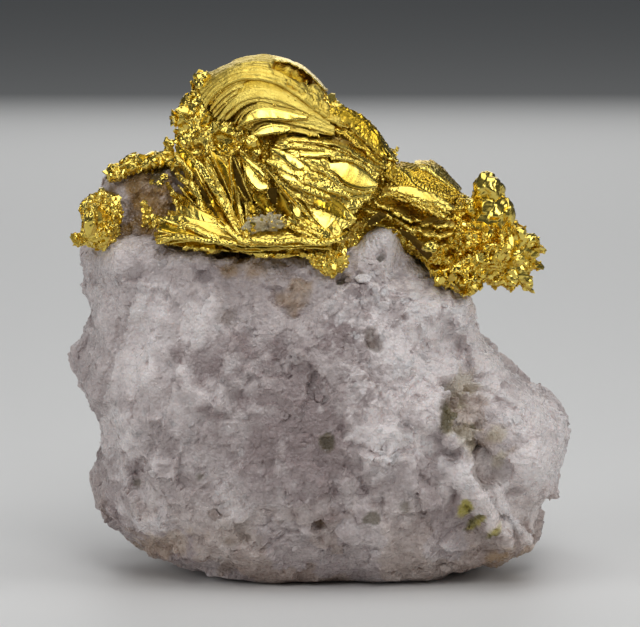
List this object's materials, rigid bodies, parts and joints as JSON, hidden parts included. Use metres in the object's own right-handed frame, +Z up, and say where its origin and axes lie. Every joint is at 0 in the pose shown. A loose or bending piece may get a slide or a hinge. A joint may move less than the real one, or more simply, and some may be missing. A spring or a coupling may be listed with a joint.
{
  "type": "gold in quartz specimen",
  "caption": "Free-standing mineral specimen: a fan-shaped growth of bent leaves of native gold over the top of a rough block of milky quartz.",
  "frame": {"origin": "middle of the specimen's bounding box, on the surface that its flat foot rests on", "axes": "+X to the right and +Z up as it is displayed; the front, with the nested gold arches, looks along -Y"},
  "size_m": [0.0612, 0.038, 0.0631],
  "materials": {
    "milky_quartz": "rough broken surface, cloudy white to mauve-grey, slightly translucent",
    "native_gold": null
  },
  "bodies": {
    "root": {"quartz_matrix": "milky_quartz", "gold_leaf_mass": "native_gold", "gold_left_tuft": "native_gold"}
  },
  "joints": []
}
